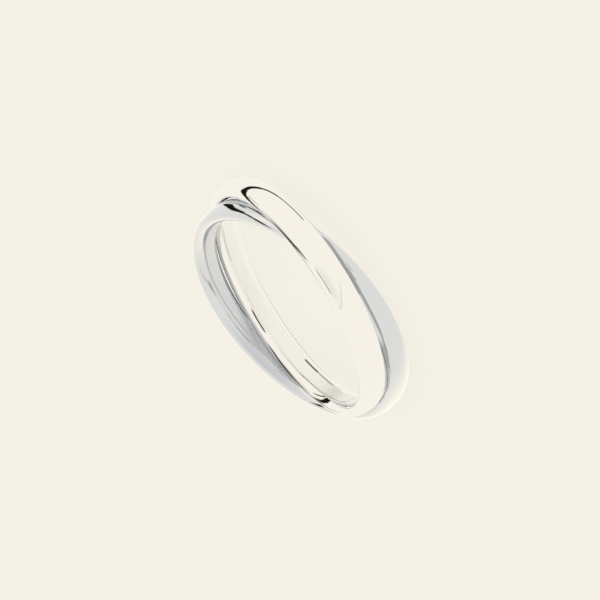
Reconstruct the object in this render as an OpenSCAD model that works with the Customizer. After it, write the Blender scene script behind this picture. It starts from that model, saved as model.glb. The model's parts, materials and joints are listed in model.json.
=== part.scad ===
// Toe ring made of two equal plain bands that pass through each other.
// Each band leans to its own side. The front band passes outside the rear band at the
// crossing at +X, and inside it at the crossing half a turn round, at -X.
// The ring lies on its side: Z runs through the toe opening, and X through both crossings.

/* [Band] */
// Inner diameter of a band, between the flat parts of its inner face
band_inner_d = 16; // [14:0.1:20]
// Width of a band along its own axis
band_w = 2; // [1.8:0.05:2]
// Thickness of a band from its inner face to its crown
band_t = 1.05; // [0.95:0.05:1.05]
// Radius of a band's rounded sides
side_r = 0.4; // [0.36:0.02:0.4]
// Radius of the curves that run from the sides to the flat of the inner face
inner_curve_r = 1.35; // [1.35:0.05:1.5]

/* [Interlock] */
// Distance between the two band centres
centre_gap = 1.18; // [1.18:0.01:1.3]
// Height of each band's middle at its highest point, above the ring's middle plane
rise = 1.04; // [1.04:0.01:1.3]

/* [Hidden] */
fine = 240;
bright_silver = [0.95, 0.94, 0.91];
grey_silver = [0.74, 0.76, 0.78];

// Middle of the section, where the rounded sides are centred
band_r = (band_inner_d + band_t) / 2;
half_t = band_t / 2;
side_z = band_w / 2 - side_r;

// Lean of each band away from the ring's middle plane, in degrees
lean = asin(rise / band_r);

// Crown: one arc over the outside, tangent to both rounded sides
crown_r = (side_z ^ 2 + half_t ^ 2 - side_r ^ 2) / (2 * (half_t - side_r));
crown_centre = band_r + half_t - crown_r;
crown_end_z = side_z * crown_r / (crown_r - side_r);

// Inside: an arc tangent to both rounded sides, cut off by the flat of the inner face
inner_centre = band_r + sqrt((inner_curve_r - side_r) ^ 2 - side_z ^ 2);
inner_end_z = side_z * inner_curve_r / (inner_curve_r - side_r);

// Height of the ring's middle above its lowest point
half_h = rise + side_z * cos(lean) + side_r;

// Half of a band's section, between two distances from the axis, under one arc
module section_half(arc_centre, arc_r, inner_x, outer_x, end_z) {
    intersection() {
        translate([arc_centre, 0]) circle(r = arc_r, $fn = fine);
        translate([inner_x, -end_z]) square([outer_x - inner_x, 2 * end_z]);
    }
}

// Section of a band: X is the distance from the band's axis, Y runs along the axis
module band_section() {
    section_half(crown_centre, crown_r, band_r, band_r + band_t, crown_end_z);
    section_half(inner_centre, inner_curve_r, band_inner_d / 2, band_r, inner_end_z);
    for (side = [-1, 1]) translate([band_r, side * side_z]) circle(r = side_r, $fn = fine);
}

// The band that passes outside at the +X crossing, in its own place
module leaning_band() {
    translate([centre_gap / 2, 0, half_h]) rotate([-lean, 0, 0])
        rotate_extrude($fn = fine) band_section();
}

module front_band() {
    color(bright_silver) leaning_band();
}

module rear_band() {
    color(grey_silver) rotate([0, 0, 180]) leaning_band();
}

front_band();
rear_band();
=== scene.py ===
"""Toe ring of two interlocked plain bands, mirror polished, lying on a pale floor."""

import json
import math

import bmesh
import bpy
from mathutils import Matrix, Vector

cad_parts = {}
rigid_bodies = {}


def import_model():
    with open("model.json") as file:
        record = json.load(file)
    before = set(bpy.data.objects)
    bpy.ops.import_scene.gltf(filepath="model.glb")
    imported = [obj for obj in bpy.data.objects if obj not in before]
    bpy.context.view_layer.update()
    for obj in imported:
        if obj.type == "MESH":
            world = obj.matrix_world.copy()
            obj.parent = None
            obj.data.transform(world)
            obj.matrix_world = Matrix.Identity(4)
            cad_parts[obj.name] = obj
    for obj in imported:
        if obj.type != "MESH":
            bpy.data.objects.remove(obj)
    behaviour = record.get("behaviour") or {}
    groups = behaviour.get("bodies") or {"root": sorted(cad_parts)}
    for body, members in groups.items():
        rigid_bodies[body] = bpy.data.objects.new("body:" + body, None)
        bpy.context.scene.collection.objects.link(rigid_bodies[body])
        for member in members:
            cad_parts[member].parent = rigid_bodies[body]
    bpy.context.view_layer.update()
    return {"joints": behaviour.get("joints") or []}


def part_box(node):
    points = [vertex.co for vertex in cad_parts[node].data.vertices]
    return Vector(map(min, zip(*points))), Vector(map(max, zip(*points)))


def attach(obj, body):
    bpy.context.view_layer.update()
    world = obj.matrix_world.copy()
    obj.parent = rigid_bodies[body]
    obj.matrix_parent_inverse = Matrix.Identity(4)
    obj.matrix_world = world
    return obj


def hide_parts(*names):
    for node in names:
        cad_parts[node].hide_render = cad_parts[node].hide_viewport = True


bl_info = {
    "name": "Interlocked Toe Ring",
    "version": (1, 0, 0),
    "blender": (4, 5, 0),
    "location": "View3D > Sidebar > Toe Ring",
    "description": "Models two interlocked polished bands and the pale stage they lie on",
    "category": "Add Mesh",
}

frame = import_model()

MM = 0.001

# Vertices closer to each other than this are merged
SAME_PLACE = 0.0005 * MM
# How far a vertex may stand off the edge of the inner flat and still count as on it
ON_EDGE = 0.004 * MM

# Steps of each arc of half a section, of the flat, and of each softened edge
CROWN_STEPS = 18
SIDE_STEPS = 14
INNER_STEPS = 9
FLAT_STEPS = 6
EDGE_STEPS = 4

# What the frame says about the bands
FRONT_LOW, FRONT_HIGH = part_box("front_band")
PIVOT = Vector(frame["joints"][0]["pos_m"])
OUTER_DIAMETER = FRONT_HIGH.x - FRONT_LOW.x
CENTRE_SHIFT = (FRONT_HIGH.x + FRONT_LOW.x) / 2


class BandSizes(bpy.types.PropertyGroup):
    """Sizes of one band. Both bands are the same."""

    outer_diameter: bpy.props.FloatProperty(
        name="Outer Diameter",
        description="Diameter over the crown of a band",
        default=OUTER_DIAMETER,
        unit="LENGTH",
    )
    thickness: bpy.props.FloatProperty(
        name="Thickness",
        description="From the flat of the inner face to the crown",
        default=1.05 * MM,
        unit="LENGTH",
    )
    width: bpy.props.FloatProperty(
        name="Width",
        description="Width of a band along its own axis",
        default=2.0 * MM,
        unit="LENGTH",
    )
    side_radius: bpy.props.FloatProperty(
        name="Side Radius",
        description="Radius of the rounded sides",
        default=0.4 * MM,
        unit="LENGTH",
    )
    inner_radius: bpy.props.FloatProperty(
        name="Inner Curve",
        description="Radius of the curves between the sides and the flat of the inner face",
        default=1.35 * MM,
        unit="LENGTH",
    )
    edge_softness: bpy.props.FloatProperty(
        name="Edge Softness",
        description="Width of the polished-over edge on each side of the inner flat",
        default=0.16 * MM,
        unit="LENGTH",
    )
    centre_shift: bpy.props.FloatProperty(
        name="Centre Shift",
        description="How far each band's centre stands from the ring's middle",
        default=CENTRE_SHIFT,
        unit="LENGTH",
    )
    rise: bpy.props.FloatProperty(
        name="Rise",
        description="How far a band's middle climbs above the ring's middle plane",
        default=1.04 * MM,
        unit="LENGTH",
    )
    steps_round: bpy.props.IntProperty(
        name="Steps Round",
        description="Number of sections round a band",
        default=288,
        min=64,
    )


class Finish(bpy.types.PropertyGroup):
    """Colours and polish of the silver: the front band's colour, a darker and bluer copy of it on the
    rear band as painted shade, and the colour of the painted dark lines.
    """

    bright: bpy.props.FloatVectorProperty(
        name="Bright Silver",
        description="Reflected colour of the front band",
        subtype="COLOR",
        size=3,
        default=(0.965, 0.96, 0.945),
    )
    # Painted shade: the rear band is the same silver as the front band, made darker and bluer
    grey: bpy.props.FloatVectorProperty(
        name="Shaded Rear Silver",
        description="Reflected colour of the rear band",
        subtype="COLOR",
        size=3,
        default=(0.745, 0.775, 0.825),
    )
    roughness: bpy.props.FloatProperty(
        name="Roughness",
        description="Roughness of the mirror polish",
        default=0.035,
        min=0.0,
        max=1.0,
    )
    flat_roughness: bpy.props.FloatProperty(
        name="Flat Roughness",
        description="Roughness of the inner flat, which the polishing wheel reaches less",
        default=0.36,
        min=0.0,
        max=1.0,
    )
    cloth_marks: bpy.props.FloatProperty(
        name="Cloth Marks",
        description="How many times rougher the metal is where a cloth has wiped it",
        default=1.5,
        min=1.0,
    )
    mark_depth: bpy.props.FloatProperty(
        name="Mark Depth",
        description="Depth of the cloth marks",
        default=0.00003 * MM,
        unit="LENGTH",
    )
    waviness: bpy.props.FloatProperty(
        name="Waviness",
        description="Height of the low waves that polishing by hand leaves",
        default=0.0012 * MM,
        unit="LENGTH",
    )
    # Colour of the painted dark lines: painted shade in the crevices between the bands and painted
    # dark reflections along the inner flat
    painted_dark: bpy.props.FloatVectorProperty(
        name="Painted Dark Lines",
        description="Colour of the painted shade and painted dark reflections drawn as fine lines",
        subtype="COLOR",
        size=3,
        default=(0.13, 0.145, 0.175),
    )


class StageLook(bpy.types.PropertyGroup):
    """Floor, light and camera."""

    ground: bpy.props.FloatVectorProperty(
        name="Ground",
        description="Colour that the floor and the backdrop show to the camera",
        subtype="COLOR",
        size=3,
        default=(0.913, 0.879, 0.791),
    )
    dome: bpy.props.FloatVectorProperty(
        name="Dome",
        description="Light of the white domes that the metal reflects",
        subtype="COLOR",
        size=3,
        default=(0.95, 0.917, 0.837),
    )
    floor_glow: bpy.props.FloatProperty(
        name="Floor Glow",
        description="Share of the floor's brightness that no shadow can take away",
        default=0.88,
        min=0.0,
        max=1.0,
    )
    floor_size: bpy.props.FloatProperty(
        name="Floor Size",
        description="Side of the floor",
        default=2.4,
        unit="LENGTH",
    )
    camera_distance: bpy.props.FloatProperty(
        name="Camera Distance",
        description="From the camera to the middle of the ring",
        default=284.2 * MM,
        unit="LENGTH",
    )
    camera_bearing: bpy.props.FloatProperty(
        name="Camera Bearing",
        description="Direction of the camera round the ring, from +X towards +Y",
        default=math.radians(-39.6),
        subtype="ANGLE",
    )
    camera_height: bpy.props.FloatProperty(
        name="Camera Height Angle",
        description="Height of the camera above the floor, as an angle",
        default=math.radians(22.84),
        subtype="ANGLE",
    )
    camera_roll: bpy.props.FloatProperty(
        name="Camera Roll",
        description="Turn of the camera about its own line of sight",
        default=math.radians(127.58),
        subtype="ANGLE",
    )
    lens: bpy.props.FloatProperty(
        name="Focal Length",
        description="Focal length of the camera",
        default=253.06,
    )
    aim_right: bpy.props.FloatProperty(
        name="Aim Right",
        description="How far the camera aims right of the ring's middle",
        default=0.1227 * MM,
        unit="LENGTH",
    )
    aim_up: bpy.props.FloatProperty(
        name="Aim Up",
        description="How far the camera aims above the ring's middle",
        default=0.2397 * MM,
        unit="LENGTH",
    )


def deselect_all():
    """Nothing stays selected, so that an operator acts only on what comes next."""
    if bpy.context.object and bpy.context.object.mode != "OBJECT":
        bpy.ops.object.mode_set(mode="OBJECT")
    for obj in bpy.data.objects:
        obj.select_set(False)
    bpy.context.view_layer.objects.active = None


def select_verts(obj, wanted):
    """Selects the vertices whose place passes the test, and nothing else."""
    mesh = bmesh.from_edit_mesh(obj.data)
    for part in (mesh.faces, mesh.edges, mesh.verts):
        for item in part:
            item.select = False
    for vert in mesh.verts:
        vert.select = wanted(vert.co)
    mesh.select_flush(True)
    bmesh.update_edit_mesh(obj.data)


def middle_radius(sizes):
    """Distance of the middle of the section from the band's axis."""
    return (sizes.outer_diameter - sizes.thickness) / 2


def side_height(sizes):
    """Height of the centre of a rounded side above the middle of the section."""
    return sizes.width / 2 - sizes.side_radius


def inner_curve(sizes):
    """Centre of the inner curves, and the inner flat's distance and half width."""
    reach = sizes.inner_radius - sizes.side_radius
    inner_x = middle_radius(sizes) + math.sqrt(reach**2 - side_height(sizes) ** 2)
    flat_x = middle_radius(sizes) - sizes.thickness / 2
    flat_z = math.sqrt(sizes.inner_radius**2 - (inner_x - flat_x) ** 2)
    return inner_x, flat_x, flat_z


def lean_angle(sizes):
    """How far a band leans away from the ring's middle plane."""
    return math.asin(sizes.rise / middle_radius(sizes))


def model_band(name, side, sizes):
    """One band: its section is drawn as arcs, spun into a ring and laid in its place."""
    half_t = sizes.thickness / 2
    band_r = middle_radius(sizes)
    side_z = side_height(sizes)
    crown_r = (side_z**2 + half_t**2 - sizes.side_radius**2) / (
        2 * (half_t - sizes.side_radius)
    )
    crown_x = band_r + half_t - crown_r
    inner_x, flat_x, flat_z = inner_curve(sizes)

    # Angles in the section, from outwards (0) over the upper side to inwards (180)
    crown_end = math.atan2(side_z, band_r - crown_x)
    side_end = math.atan2(side_z, band_r - inner_x)
    inner_end = math.atan2(flat_z, flat_x - inner_x)
    arcs = [
        (Vector((crown_x, 0, 0)), crown_end, CROWN_STEPS),
        (Vector((band_r, 0, side_z)), side_end - crown_end, SIDE_STEPS),
        (Vector((inner_x, 0, 0)), inner_end - side_end, INNER_STEPS),
    ]

    deselect_all()
    bpy.ops.mesh.primitive_plane_add(
        size=sizes.side_radius, location=(band_r + half_t, 0, 0)
    )
    band = bpy.context.object
    band.name = band.data.name = name
    bpy.ops.object.transform_apply(location=True, rotation=True, scale=True)
    bpy.ops.object.mode_set(mode="EDIT")
    bpy.ops.mesh.select_mode(type="VERT")
    bpy.ops.mesh.select_all(action="SELECT")
    bpy.ops.mesh.merge(type="CENTER")

    # Upper half of the section, the flat, then the lower half back to the crown
    for centre, angle, steps in arcs:
        bpy.ops.mesh.spin(steps=steps, angle=angle, center=centre, axis=(0, 1, 0))
    for _ in range(FLAT_STEPS):
        bpy.ops.mesh.extrude_region_move(
            TRANSFORM_OT_translate={"value": (0, 0, -2 * flat_z / FLAT_STEPS)}
        )
    for centre, angle, steps in reversed(arcs):
        mirrored = Vector((centre.x, 0, -centre.z))
        bpy.ops.mesh.spin(steps=steps, angle=angle, center=mirrored, axis=(0, 1, 0))

    # The section goes once round the band's axis
    bpy.ops.mesh.select_all(action="SELECT")
    bpy.ops.mesh.remove_doubles(threshold=SAME_PLACE)
    bpy.ops.mesh.select_all(action="SELECT")
    bpy.ops.mesh.spin(
        steps=sizes.steps_round, angle=2 * math.pi, center=(0, 0, 0), axis=(0, 0, 1)
    )
    bpy.ops.mesh.select_all(action="SELECT")
    bpy.ops.mesh.remove_doubles(threshold=SAME_PLACE)

    # The edges of the inner flat are softened
    select_verts(
        band,
        lambda co: abs(co.xy.length - flat_x) < ON_EDGE
        and abs(abs(co.z) - flat_z) < ON_EDGE,
    )
    bpy.ops.mesh.bevel(
        offset=sizes.edge_softness / 2,
        segments=EDGE_STEPS,
        profile=0.5,
        affect="EDGES",
    )
    bpy.ops.mesh.select_all(action="SELECT")
    bpy.ops.mesh.normals_make_consistent(inside=False)

    # Each band leans to its own side and stands a little off the middle. With no
    # window, transform.rotate turns clockwise about the axis it is given.
    bpy.ops.transform.rotate(
        value=side * lean_angle(sizes), orient_axis="X", center_override=(0, 0, 0)
    )
    bpy.ops.transform.translate(value=(side * sizes.centre_shift, 0, PIVOT.z))
    bpy.ops.object.mode_set(mode="OBJECT")
    bpy.ops.object.shade_smooth()
    return band


class RING_OT_front_band(bpy.types.Operator):
    """Model the front band, which passes outside at the crossing near the camera"""

    bl_idname = "toe_ring.front_band"
    bl_label = "Front Band"
    bl_options = {"REGISTER", "UNDO"}

    def execute(self, context):
        scene = context.scene
        band = model_band("front_band_polished", 1, scene.ring_sizes)
        band.data.materials.append(
            polished_silver("bright_silver", "front", scene.ring_finish.bright, 1)
        )
        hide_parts("front_band")
        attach(band, "front_band")
        light_only(band, "front")
        return {"FINISHED"}


class RING_OT_rear_band(bpy.types.Operator):
    """Model the rear band, which passes outside at the far crossing"""

    bl_idname = "toe_ring.rear_band"
    bl_label = "Rear Band"
    bl_options = {"REGISTER", "UNDO"}

    def execute(self, context):
        scene = context.scene
        band = model_band("rear_band_polished", -1, scene.ring_sizes)
        # The rear band takes the darker copy of the silver, which is painted shade
        band.data.materials.append(
            polished_silver("grey_silver", "rear", scene.ring_finish.grey, -1)
        )
        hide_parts("rear_band")
        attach(band, "rear_band")
        light_only(band, "rear")
        return {"FINISHED"}


# Fine dark lines painted on the bands: the crevice lines are painted shade where the
# bands nearly touch, and the edge and loop lines are painted dark reflections along the
# inner flat. A point is a bearing round the band and a place in its section, both in
# degrees: 0 is the crown, 90 the upper side and 180 the middle of the inner flat. Half
# widths and soft edges are degrees of the section, the fade is how slowly the line's ends
# die away, in degrees of bearing, and the last column is how dark the painted line is.
LINE_COLUMNS = ("band", "name", "start", "end", "half_width", "soft", "fade", "painted_darkness")
LINES = [
    ("front", "crevice_start", (79, 124), (90, 109), 6, 6, 2, 0.38),
    ("front", "crevice_turn", (90, 109), (102, 98), 8, 5, 3, 0.4),
    ("front", "crevice", (102, 96), (168, 95), 10, 6, 6, 0.4),
    ("front", "far_edge", (168, 220), (178, 222), 3, 3, 1, 1.0),
    ("front", "far_edge_end", (178, 222), (190, 221), 3, 3, 3, 0.5),
    ("front", "near_edge_start", (84, 141), (103, 137), 2, 4, 3, 0.22),
    ("front", "near_edge_end", (174, 136), (211, 141), 2, 4, 3, 0.35),
    ("front", "loop", (210, 140), (215, 154), 6, 4, 1, 0.35),
    ("front", "loop_end", (215, 154), (217, 205), 16, 8, 1, 0.3),
    ("rear", "near_edge_start", (60, 130), (92, 145), 2, 4, 3, 0.45),
    ("rear", "near_edge_end", (92, 145), (134, 165), 2, 4, 3, 0.4),
    ("rear", "crevice_lower", (256, 92), (271, 81.5), 5, 4, 5, 0.37),
    ("rear", "crevice_upper", (271, 81.5), (284, 72), 6, 4, 6, 0.55),
]


# Noise of the finish. The cloth marks are fine and drawn out round the band, and the
# waves are broad and lie every way.
MARK_SCALE = 1100.0
MARK_SQUEEZE = 9.0
MARK_DETAIL = 4.0
MARK_START = 0.4
MARK_END = 0.7
WAVE_SCALE = 420.0
WAVE_DETAIL = 1.0
# Share of the roughness that the metal has where no cloth has wiped
UNWIPED_SHARE = 0.85


class NodeBuilder:
    """Adds nodes that work out values to a material's tree."""

    def __init__(self, tree):
        self.tree = tree

    def math(self, operation, first, second=None):
        node = self.tree.nodes.new("ShaderNodeMath")
        node.operation = operation
        for socket, value in zip(node.inputs, (first, second)):
            if isinstance(value, (int, float)):
                socket.default_value = value
            elif value is not None:
                self.tree.links.new(value, socket)
        return node.outputs[0]

    def ramp(self, value, start, end, low, high, kind="SMOOTHSTEP"):
        """Goes from low to high as the value goes from start to end."""
        node = self.tree.nodes.new("ShaderNodeMapRange")
        node.interpolation_type = kind
        self.tree.links.new(value, node.inputs["Value"])
        node.inputs["From Min"].default_value = start
        node.inputs["From Max"].default_value = end
        node.inputs["To Min"].default_value = low
        node.inputs["To Max"].default_value = high
        return node.outputs["Result"]


class SilverNodes(NodeBuilder):
    """Builds the nodes of a band's silver in the band's own coordinates."""

    def __init__(self, tree, side, sizes):
        super().__init__(tree)
        texture = tree.nodes.new("ShaderNodeTexCoord")
        self.place = texture.outputs["Object"]
        upright = tree.nodes.new("ShaderNodeMapping")
        upright.vector_type = "TEXTURE"
        middle = (side * sizes.centre_shift, 0, PIVOT.z)
        upright.inputs["Location"].default_value = middle
        upright.inputs["Rotation"].default_value = (-side * lean_angle(sizes), 0, 0)
        tree.links.new(self.place, upright.inputs["Vector"])
        self.upright = upright.outputs["Vector"]
        split = tree.nodes.new("ShaderNodeSeparateXYZ")
        tree.links.new(self.upright, split.inputs["Vector"])
        x, y, z = split.outputs["X"], split.outputs["Y"], split.outputs["Z"]
        square_x = self.math("MULTIPLY", x, x)
        square_y = self.math("MULTIPLY", y, y)
        self.radius = self.math("SQRT", self.math("ADD", square_x, square_y))
        self.height = self.math("ABSOLUTE", z)
        outwards = self.math("SUBTRACT", self.radius, middle_radius(sizes))
        self.bearing = self.turn(y, x)
        self.section = self.turn(z, outwards)

    def turn(self, across, along):
        """The angle of a place in degrees, from 0 to 360."""
        across = self.math("MULTIPLY", across, -1.0)
        along = self.math("MULTIPLY", along, -1.0)
        angle = self.math("DEGREES", self.math("ARCTAN2", across, along))
        return self.math("ADD", angle, 180.0)

    def noise(self, place, scale, squeeze, detail):
        """Noise, squeezed along Z so that its marks run round an upright band."""
        squeezed = self.tree.nodes.new("ShaderNodeMapping")
        squeezed.inputs["Scale"].default_value = (1, 1, squeeze)
        self.tree.links.new(place, squeezed.inputs["Vector"])
        node = self.tree.nodes.new("ShaderNodeTexNoise")
        node.inputs["Scale"].default_value = scale
        node.inputs["Detail"].default_value = detail
        self.tree.links.new(squeezed.outputs["Vector"], node.inputs["Vector"])
        return node.outputs["Fac"]

    def bump(self, height, distance, normal=None):
        """The surface's normal, tilted by the height, on top of an earlier bump."""
        node = self.tree.nodes.new("ShaderNodeBump")
        node.inputs["Strength"].default_value = 1.0
        node.inputs["Distance"].default_value = distance
        self.tree.links.new(height, node.inputs["Height"])
        if normal is not None:
            self.tree.links.new(normal, node.inputs["Normal"])
        return node.outputs["Normal"]

    def line(self, start, end, half_width, soft, fade, painted_darkness):
        """How much of one painted dark line lies on a place: its painted darkness on the line, and 0
        off it.
        """
        middle = self.ramp(
            self.bearing, start[0], end[0], start[1], end[1], kind="LINEAR"
        )
        aside = self.math("ABSOLUTE", self.math("SUBTRACT", self.section, middle))
        on_line = self.ramp(aside, half_width, half_width + soft, painted_darkness, 0.0)
        begun = self.ramp(self.bearing, start[0] - fade, start[0] + fade / 3, 0.0, 1.0)
        ended = self.ramp(self.bearing, end[0] - fade / 3, end[0] + fade, 1.0, 0.0)
        return self.math("MULTIPLY", on_line, self.math("MULTIPLY", begun, ended))


def polished_silver(name, band, colour, side):
    """Mirror polished metal with faint cloth marks and a few painted dark lines: painted
    shade in the crevices and painted dark reflections along the inner flat. The inner flat
    is less polished."""
    sizes = bpy.context.scene.ring_sizes
    finish = bpy.context.scene.ring_finish
    _, flat_x, flat_z = inner_curve(sizes)
    material = bpy.data.materials.new(name)
    material.use_nodes = True
    nodes = material.node_tree.nodes
    links = material.node_tree.links
    shader = nodes["Principled BSDF"]
    shader.inputs["Metallic"].default_value = 1.0
    build = SilverNodes(material.node_tree, side, sizes)

    soft = sizes.edge_softness
    inside = build.ramp(build.radius, flat_x + soft / 4, flat_x + soft, 1.0, 0.0)
    within = build.ramp(build.height, flat_z - soft / 2, flat_z, 1.0, 0.0)
    on_flat = build.math("MULTIPLY", inside, within)
    marks = build.noise(build.upright, MARK_SCALE, MARK_SQUEEZE, MARK_DETAIL)
    smoothest = UNWIPED_SHARE * finish.roughness
    roughest = finish.cloth_marks * finish.roughness
    wiped = build.ramp(
        marks, MARK_START, MARK_END, smoothest, roughest, kind="LINEAR"
    )
    matt = build.math("MULTIPLY", on_flat, finish.flat_roughness)
    links.new(build.math("MAXIMUM", wiped, matt), shader.inputs["Roughness"])

    painted_darkness = None
    for row in LINES:
        line = dict(zip(LINE_COLUMNS, row))
        if line["band"] != band:
            continue
        here = build.line(
            line["start"],
            line["end"],
            line["half_width"],
            line["soft"],
            line["fade"],
            line["painted_darkness"],
        )
        painted_darkness = here if painted_darkness is None else build.math("MAXIMUM", painted_darkness, here)
    # Painted shade and painted dark reflections: the base colour goes to the dark line colour wherever
    # a line lies
    tone = nodes.new("ShaderNodeMix")
    tone.data_type = "RGBA"
    links.new(painted_darkness, tone.inputs[0])
    tone.inputs[6].default_value = (*colour, 1.0)
    tone.inputs[7].default_value = (*finish.painted_dark, 1.0)
    links.new(tone.outputs[2], shader.inputs["Base Color"])

    waves = build.noise(build.place, WAVE_SCALE, 1.0, WAVE_DETAIL)
    wavy = build.bump(waves, finish.waviness)
    links.new(build.bump(marks, finish.mark_depth, wavy), shader.inputs["Normal"])
    return material


# What each band sees of the studio. A direction is a bearing from +X towards +Y and a
# height above the horizon. Half widths, radii and soft edges are angles too, all in
# degrees. A card is a strip of dark card along its points, and its last column is the
# share of the light that it leaves.
CARD_COLUMNS = ("band", "name", "points", "half_width", "soft", "light_left")
CARDS = [
    ("front", "nose", ((77, -7), (76, 2), (78, 13), (83, 22)), 4.1, 0.9, 0.01),
    ("front", "nose_end", ((83, 22), (92, 30), (105, 34)), 3.3, 0.9, 0.01),
    ("front", "nose_tip", ((105, 34), (116, 32.5), (127, 27)), 2.0, 1.2, 0.25),
    ("front", "top_line", ((77, -7), (76, -19), (72, -29)), 3.2, 0.9, 0.01),
    ("front", "top_line_bend", ((72, -29), (67, -37), (60, -42)), 2.4, 0.8, 0.03),
    ("front", "top_line_end", ((60, -42), (45, -47), (22, -51)), 1.7, 0.8, 0.05),
    ("front", "arch", ((34, 67), (62, 68), (78, 66.5), (90, 62.5)), 4.2, 2.5, 0.2),
    ("front", "arch_end", ((90, 62.5), (103, 56), (113, 48), (122, 39.5)), 4.2, 2.0, 0.08),
    ("front", "arch_tip", ((122, 39.5), (130, 30), (134, 20)), 2.8, 2.0, 0.12),
    ("front", "inner_bar", ((70, 8), (67, 27)), 1.6, 1.0, 0.1),
    ("front", "dash", ((-48, 42.5), (-27, 42.5)), 4.0, 1.5, 0.05),
    ("front", "leaf_edge", ((-69, 38), (-66, 20), (-58, 0), (-51, -16)), 1.6, 1.5, 0.86),
    ("rear", "nose", ((102, -20), (90, -13), (77, -1)), 3.0, 0.8, 0.01),
    ("rear", "nose_side", ((77, -1), (66, 7), (59, 18), (58, 30)), 3.3, 1.0, 0.02),
    ("rear", "nose_side_end", ((58, 30), (59, 42), (66, 52), (76, 57)), 3.6, 1.2, 0.05),
    ("rear", "lower_line", ((76, 57), (88, 61), (98, 62)), 3.0, 1.2, 0.06),
    ("rear", "lower_line_end", ((98, 62), (112, 60.5)), 1.8, 1.5, 0.6),
    ("rear", "streak", ((57, -4), (70, -9)), 1.5, 1.0, 0.35),
    ("rear", "groove", ((-118, 13), (-100, 4), (-75, -3), (-58, -12)), 4.6, 2.0, 0.5),
    ("rear", "groove_end", ((-58, -12), (-42, -25), (-28, -35), (-10, -46), (12, -56)), 4.6, 2.0, 0.5),
    ("rear", "groove_core", ((-60, -4), (-45, -17), (-30, -28), (-18, -37)), 1.6, 1.0, 0.3),
    ("rear", "groove_start", ((-150, 34), (-135, 26), (-118, 13)), 3.0, 2.0, 0.8),
    ("rear", "scratch_a", ((-49, -28), (-37, -35)), 0.9, 0.8, 0.35),
    ("rear", "scratch_b", ((-40, -42), (-31, -46)), 1.0, 0.8, 0.4),
]
# A tone is a round patch of the dome which is brighter, darker or tinted.
TONE_COLUMNS = ("band", "name", "centre", "radius", "soft", "factor")
TONES = [
    ("rear", "away", (160, -10), 42, 28, (1.28, 1.23, 1.14)),
    ("rear", "glow", (42, 22), 18, 12, (1.2, 1.17, 1.12)),
    ("rear", "shade", (-30, 45), 30, 28, (0.76, 0.77, 0.84)),
    ("front", "shade", (-45, 24), 14, 14, (0.86, 0.87, 0.9)),
    ("front", "grey_top", (86, 54), 13, 8, (0.6, 0.61, 0.63)),
    ("front", "low", (140, -62), 14, 8, (0.5, 0.52, 0.56)),
]


# The rear band's dome stands outside the front band's, which lets light through
FRONT_DOME_RADIUS = 1.0
REAR_DOME_RADIUS = 1.1

SENSOR_WIDTH = 36.0
NEAREST_SEEN = 10 * MM
FARTHEST_SEEN = 10.0


def direction(bearing, height):
    """Unit vector towards a bearing and a height, both in degrees."""
    flat = math.cos(math.radians(height))
    return Vector(
        (
            flat * math.cos(math.radians(bearing)),
            flat * math.sin(math.radians(bearing)),
            math.sin(math.radians(height)),
        )
    )


class DomeNodes(NodeBuilder):
    """Builds a dome's nodes for the cards and tones."""

    def __init__(self, tree):
        super().__init__(tree)
        place = tree.nodes.new("ShaderNodeTexCoord")
        unit = tree.nodes.new("ShaderNodeVectorMath")
        unit.operation = "NORMALIZE"
        tree.links.new(place.outputs["Object"], unit.inputs[0])
        self.seen = unit.outputs["Vector"]

    def along(self, axis):
        """How far the seen direction points along an axis, from -1 to 1."""
        node = self.tree.nodes.new("ShaderNodeVectorMath")
        node.operation = "DOT_PRODUCT"
        self.tree.links.new(self.seen, node.inputs[0])
        node.inputs[1].default_value = axis
        return node.outputs["Value"]

    def step(self, value, middle, soft, low=0.0, high=1.0):
        """Goes smoothly from low to high as the value passes the middle."""
        return self.ramp(value, middle - soft, middle + soft, low, high)

    def patch(self, centre, radius, soft):
        """1 within the radius of a direction, and 0 outside."""
        edge = math.sin(math.radians(radius)) * math.sin(math.radians(soft))
        return self.step(self.along(centre), math.cos(math.radians(radius)), edge)

    def run(self, start, end, half_width, soft):
        """1 on the straight strip between two directions, and 0 outside."""
        across = start.cross(end).normalized()
        aside = self.math("ABSOLUTE", self.along(across))
        half_width = math.sin(math.radians(half_width))
        soft = math.sin(math.radians(soft))
        on_line = self.step(aside, half_width, soft, low=1.0, high=0.0)
        for edge in (across.cross(start), end.cross(across)):
            before_end = self.math("GREATER_THAN", self.along(edge), 0.0)
            on_line = self.math("MULTIPLY", on_line, before_end)
        return on_line

    def card(self, points, half_width, soft, light_left):
        """What is left of the light: light_left on the card, and 1 off it."""
        points = [direction(*point) for point in points]
        on_card = self.patch(points[0], half_width, soft)
        for start, end in zip(points, points[1:]):
            run = self.run(start, end, half_width, soft)
            on_card = self.math("MAXIMUM", on_card, run)
            on_card = self.math(
                "MAXIMUM", on_card, self.patch(end, half_width, soft)
            )
        return self.step(on_card, 0.5, 0.5, low=1.0, high=light_left)

    def tone(self, colour, centre, radius, soft, factor):
        """The colour times the factor within the patch."""
        inside = self.patch(direction(*centre), radius, soft)
        weight = self.tree.nodes.new("ShaderNodeMix")
        weight.data_type = "RGBA"
        weight.blend_type = "MULTIPLY"
        weight.clamp_factor = True
        self.tree.links.new(inside, weight.inputs[0])
        if isinstance(colour, tuple):
            weight.inputs[6].default_value = colour
        else:
            self.tree.links.new(colour, weight.inputs[6])
        weight.inputs[7].default_value = (*factor, 1.0)
        return weight.outputs[2]


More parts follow.
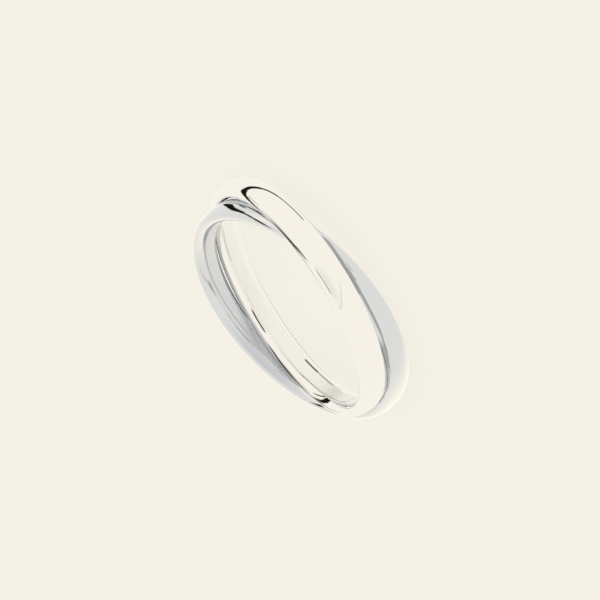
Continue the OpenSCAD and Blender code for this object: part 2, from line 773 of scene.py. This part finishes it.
def raise_dome(band, radius, see_through, look):
    """The white dome with its cards, as one of the bands sees it. Nothing but the metal
    sees it at all."""
    deselect_all()
    bpy.ops.mesh.primitive_uv_sphere_add(segments=48, ring_count=24, radius=radius)
    dome = bpy.context.object
    dome.name = dome.data.name = f"dome_for_{band}_band"
    material = bpy.data.materials.new(f"white_tent_{band}")
    material.use_nodes = True
    material.cycles.emission_sampling = "NONE"
    tree = material.node_tree
    tree.nodes.clear()
    build = DomeNodes(tree)

    light = None
    for row in CARDS:
        card = dict(zip(CARD_COLUMNS, row))
        if card["band"] != band:
            continue
        left = build.card(
            card["points"], card["half_width"], card["soft"], card["light_left"]
        )
        light = left if light is None else build.math("MINIMUM", light, left)
    colour = (*look.dome, 1.0)
    for row in TONES:
        tone = dict(zip(TONE_COLUMNS, row))
        if tone["band"] == band:
            colour = build.tone(
                colour, tone["centre"], tone["radius"], tone["soft"], tone["factor"]
            )

    glow = tree.nodes.new("ShaderNodeEmission")
    tree.links.new(colour, glow.inputs["Color"])
    tree.links.new(light, glow.inputs["Strength"])
    surface = glow.outputs["Emission"]
    if see_through:
        clear = tree.nodes.new("ShaderNodeBsdfTransparent")
        both = tree.nodes.new("ShaderNodeAddShader")
        tree.links.new(surface, both.inputs[0])
        tree.links.new(clear.outputs[0], both.inputs[1])
        surface = both.outputs[0]
    out = tree.nodes.new("ShaderNodeOutputMaterial")
    tree.links.new(surface, out.inputs["Surface"])
    dome.data.materials.append(material)

    dome.visible_camera = False
    dome.visible_diffuse = False
    dome.visible_transmission = False
    dome.visible_volume_scatter = False
    dome.visible_shadow = False
    dome.light_linking.receiver_collection = bpy.data.collections.new(
        f"lit_by_{band}_dome"
    )


def light_only(obj, band):
    """The band is lit by its own dome."""
    bpy.data.collections[f"lit_by_{band}_dome"].objects.link(obj)


def light_world(look):
    """The world: the backdrop's colour to the camera, and plain white light to the rest."""
    world = bpy.data.worlds.new("pale_backdrop")
    bpy.context.scene.world = world
    world.use_nodes = True
    nodes, links = world.node_tree.nodes, world.node_tree.links
    nodes.clear()
    backdrop = nodes.new("ShaderNodeBackground")
    backdrop.inputs["Color"].default_value = (*look.ground, 1.0)
    white = nodes.new("ShaderNodeBackground")
    white.inputs["Color"].default_value = (1.0, 1.0, 1.0, 1.0)
    path = nodes.new("ShaderNodeLightPath")
    camera = nodes.new("ShaderNodeMixShader")
    links.new(path.outputs["Is Camera Ray"], camera.inputs["Fac"])
    links.new(white.outputs[0], camera.inputs[1])
    links.new(backdrop.outputs[0], camera.inputs[2])
    out = nodes.new("ShaderNodeOutputWorld")
    links.new(camera.outputs[0], out.inputs["Surface"])


def lay_floor(look):
    """A pale backlit floor, which keeps only a faint shadow. The metal doesn't see it:
    it sees the lower half of the domes, which is as bright."""
    deselect_all()
    bpy.ops.mesh.primitive_plane_add(size=look.floor_size, location=(0, 0, 0))
    floor = bpy.context.object
    floor.name = floor.data.name = "floor"
    material = bpy.data.materials.new("backlit_panel")
    material.use_nodes = True
    shader = material.node_tree.nodes["Principled BSDF"]
    diffuse = [(1 - look.floor_glow) * c for c in look.ground]
    shader.inputs["Base Color"].default_value = (*diffuse, 1.0)
    shader.inputs["Roughness"].default_value = 1.0
    shader.inputs["Specular IOR Level"].default_value = 0.0
    shader.inputs["Emission Color"].default_value = (*look.ground, 1.0)
    shader.inputs["Emission Strength"].default_value = look.floor_glow
    floor.data.materials.append(material)
    floor.visible_glossy = False


def place_camera(look):
    """The camera at the photograph's angle to the ring, rolled as the ring hung there."""
    towards = Vector(
        (
            math.cos(look.camera_height) * math.cos(look.camera_bearing),
            math.cos(look.camera_height) * math.sin(look.camera_bearing),
            math.sin(look.camera_height),
        )
    )
    up = (Vector((0, 0, 1)) - towards * towards.z).normalized()
    right = up.cross(towards)
    roll = look.camera_roll
    camera_x = math.cos(roll) * right - math.sin(roll) * up
    camera_y = math.sin(roll) * right + math.cos(roll) * up
    turn = Matrix((camera_x, camera_y, towards)).transposed()

    data = bpy.data.cameras.new("camera")
    data.sensor_width = SENSOR_WIDTH
    data.lens = look.lens
    camera = bpy.data.objects.new("camera", data)
    bpy.context.scene.collection.objects.link(camera)
    aim = PIVOT + look.aim_right * camera_x + look.aim_up * camera_y
    camera.matrix_world = turn.to_4x4()
    camera.location = aim + look.camera_distance * towards
    data.clip_start = NEAREST_SEEN
    data.clip_end = FARTHEST_SEEN
    bpy.context.scene.camera = camera


class RING_OT_stage(bpy.types.Operator):
    """Lay the floor, light the domes and set the camera"""

    bl_idname = "toe_ring.stage"
    bl_label = "Stage"
    bl_options = {"REGISTER", "UNDO"}

    def execute(self, context):
        look = context.scene.ring_stage
        lay_floor(look)
        light_world(look)
        raise_dome("front", FRONT_DOME_RADIUS, True, look)
        raise_dome("rear", REAR_DOME_RADIUS, False, look)
        place_camera(look)
        context.scene.view_settings.view_transform = "Standard"
        return {"FINISHED"}


class RING_PT_panel(bpy.types.Panel):
    """Sizes, finish and stage of the toe ring"""

    bl_idname = "RING_PT_panel"
    bl_label = "Toe Ring"
    bl_space_type = "VIEW_3D"
    bl_region_type = "UI"
    bl_category = "Toe Ring"

    def draw(self, context):
        layout = self.layout
        scene = context.scene
        for group in (scene.ring_sizes, scene.ring_finish, scene.ring_stage):
            box = layout.box()
            for name in group.bl_rna.properties.keys():
                if name not in ("rna_type", "name"):
                    box.prop(group, name)
        for operator in (RING_OT_front_band, RING_OT_rear_band, RING_OT_stage):
            layout.operator(operator.bl_idname)


CLASSES = (
    BandSizes,
    Finish,
    StageLook,
    RING_OT_front_band,
    RING_OT_rear_band,
    RING_OT_stage,
    RING_PT_panel,
)


def register():
    for item in CLASSES:
        bpy.utils.register_class(item)
    bpy.types.Scene.ring_sizes = bpy.props.PointerProperty(type=BandSizes)
    bpy.types.Scene.ring_finish = bpy.props.PointerProperty(type=Finish)
    bpy.types.Scene.ring_stage = bpy.props.PointerProperty(type=StageLook)


def unregister():
    del bpy.types.Scene.ring_stage
    del bpy.types.Scene.ring_finish
    del bpy.types.Scene.ring_sizes
    for item in reversed(CLASSES):
        bpy.utils.unregister_class(item)


def main():
    register()
    bpy.ops.toe_ring.stage()
    bpy.ops.toe_ring.front_band()
    bpy.ops.toe_ring.rear_band()


if __name__ == "__main__":
    main()
